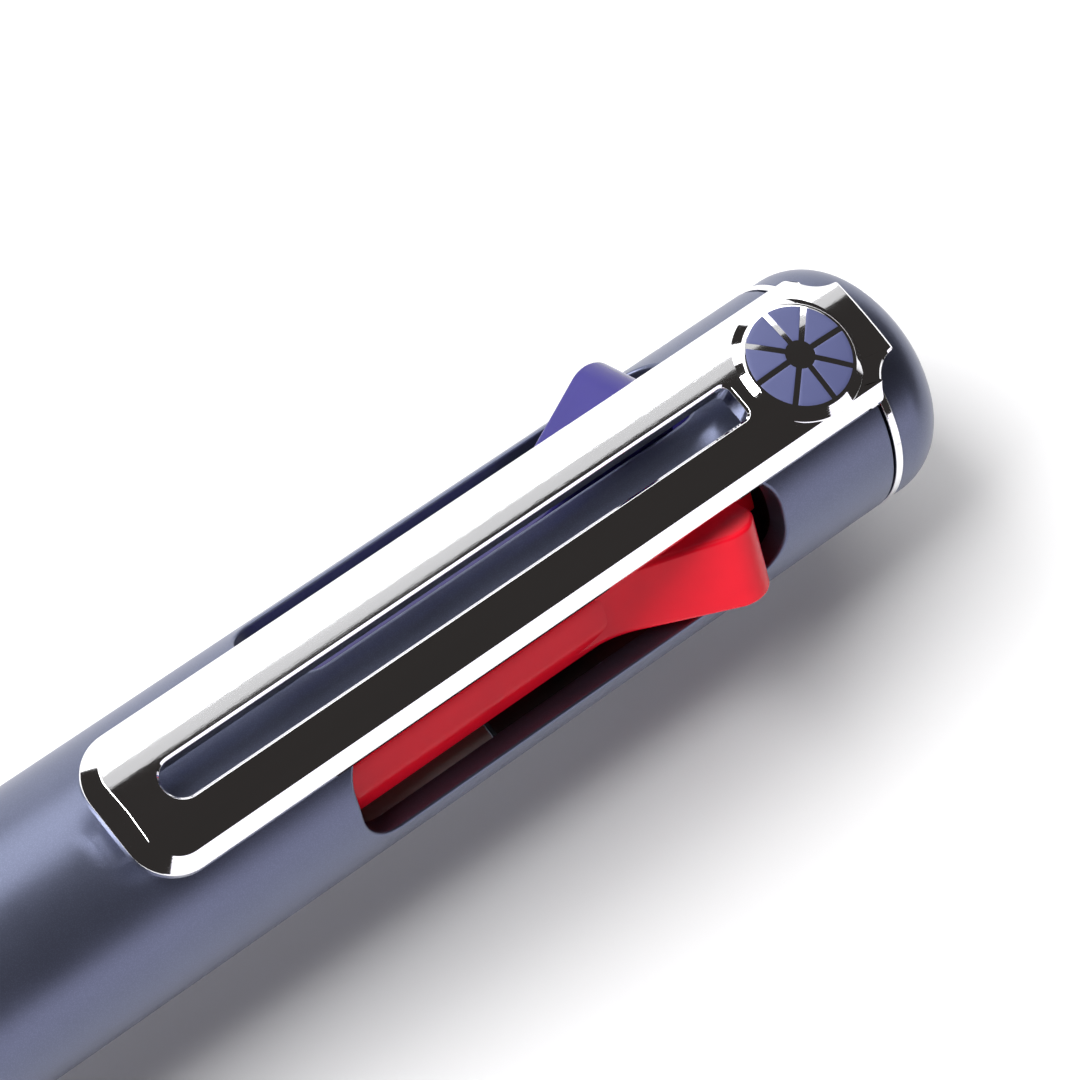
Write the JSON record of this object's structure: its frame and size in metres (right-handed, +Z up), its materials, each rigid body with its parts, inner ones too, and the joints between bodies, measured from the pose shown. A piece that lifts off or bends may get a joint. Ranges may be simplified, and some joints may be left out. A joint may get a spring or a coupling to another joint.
{
  "type": "multicolour click pen",
  "caption": "Slim multicolour click pen: thumb sliders push sprung refills out through the nose, with a sprung pocket clip and a screw-off front barrel.",
  "frame": {"origin": "middle of the bounding box's bottom face: the plane the black slider rests on", "axes": "+X along the pen towards the cap, +Z up midway between the red and blue sliders, +Y towards the blue slider"},
  "size_m": [0.143, 0.0142, 0.0175],
  "materials": {
    "body_paint": "satin slate-blue metallic lacquer",
    "chrome": "polished chrome plate",
    "steel": "bright steel",
    "spring_steel": "bright spring wire",
    "brass": "turned brass",
    "nickel_silver": "nickel silver",
    "carbide": "polished carbide",
    "enamel": "slate-blue enamel",
    "guide_plastic": "light grey moulded plastic",
    "black_plastic": "black moulded plastic",
    "red_plastic": "glossy red",
    "blue_plastic": "glossy blue-violet",
    "slider_black": "glossy black",
    "tube_plastic": "translucent refill tube",
    "rubber": "matt moulded rubber",
    "ink_red": "ink",
    "ink_blue": "ink",
    "ink_black": "ink"
  },
  "bodies": {
    "rear": {"rear_barrel": "body_paint", "cap": "body_paint", "cap_ring": "chrome", "guide_core": "guide_plastic", "latch_core": "black_plastic", "threaded_insert": "brass", "clip_foot": "steel", "clip_spring": "spring_steel", "spring_red": "spring_steel", "spring_blue": "spring_steel", "spring_black": "spring_steel"},
    "clip": {"clip": "chrome", "clip_boss": "chrome", "clip_badge": "enamel", "clip_pin": "steel"},
    "slide_red": {"slider_red": "red_plastic"},
    "refill_red": {"tube_red": "tube_plastic", "tip_red": "nickel_silver", "ball_red": "carbide", "ink_red": "ink_red"},
    "slide_blue": {"slider_blue": "blue_plastic"},
    "refill_blue": {"tube_blue": "tube_plastic", "tip_blue": "nickel_silver", "ball_blue": "carbide", "ink_blue": "ink_blue"},
    "slide_black": {"slider_black": "slider_black"},
    "refill_black": {"tube_black": "tube_plastic", "tip_black": "nickel_silver", "ball_black": "carbide", "ink_black": "ink_black"},
    "screw": {"centre_ring": "chrome"},
    "front": {"front_barrel": "body_paint", "grip": "rubber", "nose_cone": "chrome"}
  },
  "joints": [
    {"name": "red_slide", "type": "slide", "parent": "rear", "child": "slide_red", "axis": [-1, 0, 0], "range_m": [0, 0.01], "stiffness_N_per_m": 30, "springref_m": -0.006, "deforming": ["spring_red"]},
    {"name": "red_refill_swing", "type": "hinge", "parent": "slide_red", "child": "refill_red", "pos_m": [0.0035, -0.00205, 0.01], "axis": [0, -0.7071, -0.7071], "range_deg": [0, 2.18], "deforming": ["tube_red", "tip_red", "ball_red", "ink_red"]},
    {"name": "blue_slide", "type": "slide", "parent": "rear", "child": "slide_blue", "axis": [-1, 0, 0], "range_m": [0, 0.01], "stiffness_N_per_m": 30, "springref_m": -0.006, "deforming": ["spring_blue"]},
    {"name": "blue_refill_swing", "type": "hinge", "parent": "slide_blue", "child": "refill_blue", "pos_m": [0.0035, 0.00205, 0.01], "axis": [0, -0.7071, 0.7071], "range_deg": [0, 2.18], "deforming": ["tube_blue", "tip_blue", "ball_blue", "ink_blue"]},
    {"name": "black_slide", "type": "slide", "parent": "rear", "child": "slide_black", "axis": [-1, 0, 0], "range_m": [0, 0.01], "stiffness_N_per_m": 30, "springref_m": -0.006, "deforming": ["spring_black"]},
    {"name": "black_refill_swing", "type": "hinge", "parent": "slide_black", "child": "refill_black", "pos_m": [0.0035, 0, 0.00505], "axis": [0, 1, 0], "range_deg": [0, 2.18], "deforming": ["tube_black", "tip_black", "ball_black", "ink_black"]},
    {"name": "clip_open", "type": "hinge", "parent": "rear", "child": "clip", "pos_m": [0.06246, 0.00079, 0.01491], "axis": [0, 0.9936, -0.1132], "range_deg": [0, 3], "stiffness_Nm_per_rad": 0.4, "springref_deg": -2.86, "deforming": ["clip_spring"]},
    {"name": "front_travel", "type": "slide", "parent": "rear", "child": "screw", "axis": [-1, 0, 0], "range_m": [0, 0.006]},
    {"name": "front_unscrew", "type": "hinge", "parent": "screw", "child": "front", "pos_m": [-0.0055, 0, 0.00795], "axis": [1, 0, 0], "range_deg": [0, 1440.1]}
  ],
  "couplings": [
    {"joint": "red_refill_swing", "follows": "red_slide", "rad_per_m": 3.783},
    {"joint": "blue_refill_swing", "follows": "blue_slide", "rad_per_m": 3.783},
    {"joint": "black_refill_swing", "follows": "black_slide", "rad_per_m": 3.783},
    {"joint": "front_unscrew", "follows": "front_travel", "rad_per_m": 4188.8}
  ]
}
